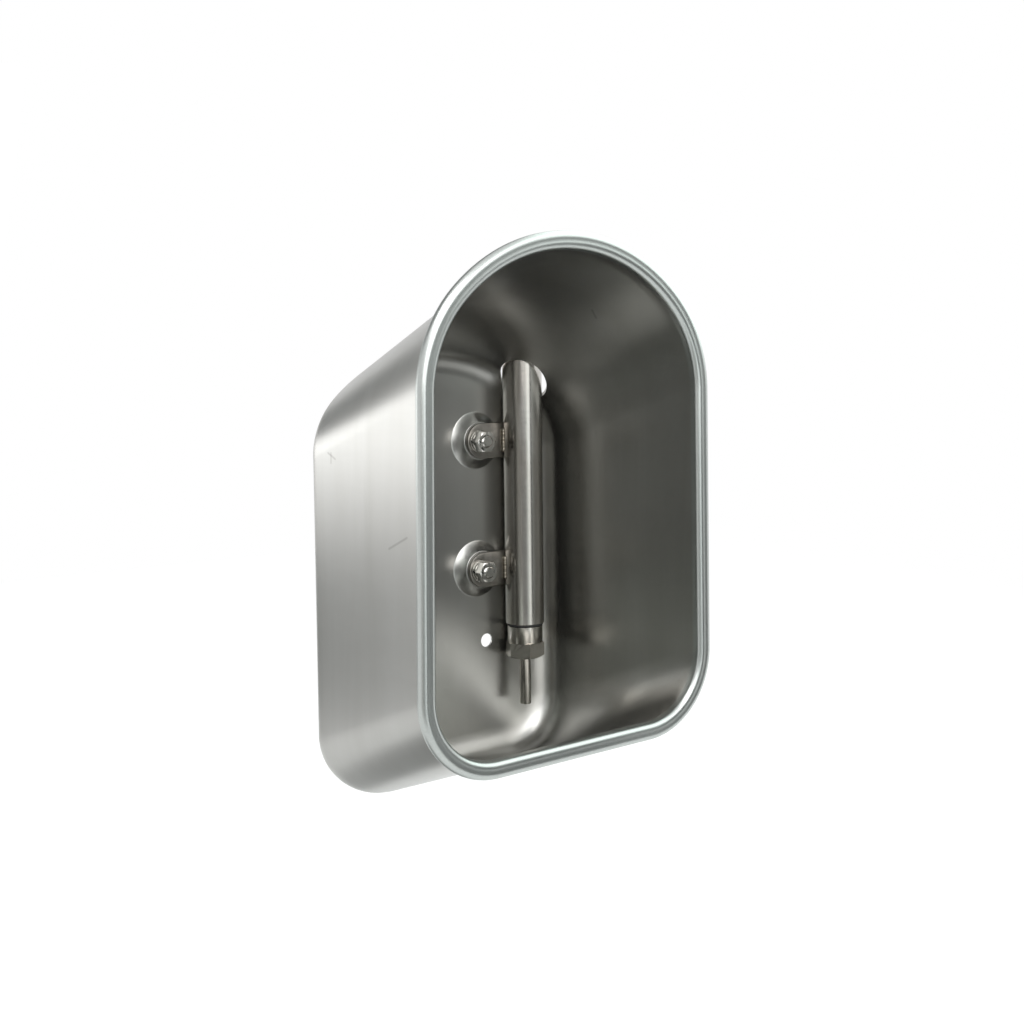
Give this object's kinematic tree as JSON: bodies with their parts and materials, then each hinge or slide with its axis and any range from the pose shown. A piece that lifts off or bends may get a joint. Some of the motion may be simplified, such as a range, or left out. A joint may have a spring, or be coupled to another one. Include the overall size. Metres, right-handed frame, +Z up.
{
  "type": "livestock drinking bowl",
  "caption": "Deep drawn stainless drinking bowl with a rolled rim, a vertical supply pipe bracketed to its back and a tilting pin valve at the pipe's lower end.",
  "frame": {"origin": "on the wall face of the back, on the bowl's centre line, level with the lower lip of the rim", "axes": "+X to the right of someone facing the bowl, +Y into the wall, +Z up along the pipe"},
  "size_m": [0.2148, 0.1518, 0.3427],
  "materials": {
    "drawn_steel": "satin, drawn and pickled stainless sheet",
    "pipe_steel": "ground stainless pipe",
    "plate_steel": "cut stainless plate",
    "weld_steel": "as welded, lightly tinted",
    "fastener_steel": "bright stainless fasteners",
    "turned_steel": "turned stainless bar",
    "spring_steel": "drawn spring wire",
    "gauze_steel": "woven stainless gauze",
    "black_rubber": "moulded rubber",
    "white_plastic": "moulded plastic",
    "red_plastic": "moulded plastic"
  },
  "bodies": {
    "bowl": {"bowl_shell": "drawn_steel", "supply_pipe": "pipe_steel", "upper_tab": "plate_steel", "lower_tab": "plate_steel", "tab_welds": "weld_steel", "clamp_bolts": "fastener_steel", "plain_washers": "fastener_steel", "lock_washers": "fastener_steel", "hex_nuts": "fastener_steel", "valve_gasket": "black_rubber", "valve_body": "turned_steel", "seat_ring": "black_rubber", "return_spring": "spring_steel", "spring_cap": "white_plastic", "flow_restrictor": "red_plastic", "retaining_ring": "spring_steel", "inlet_strainer": "white_plastic", "strainer_gauze": "gauze_steel"},
    "pin": {"valve_pin": "turned_steel"}
  },
  "joints": [
    {"name": "pin_tilt", "type": "hinge", "parent": "bowl", "child": "pin", "pos_m": [0.0635, -0.023, 0.0454], "axis": [1, 0, 0], "range_deg": [0, 6], "stiffness_Nm_per_rad": 0.3, "springref_deg": -5.73, "deforming": ["return_spring"]}
  ]
}
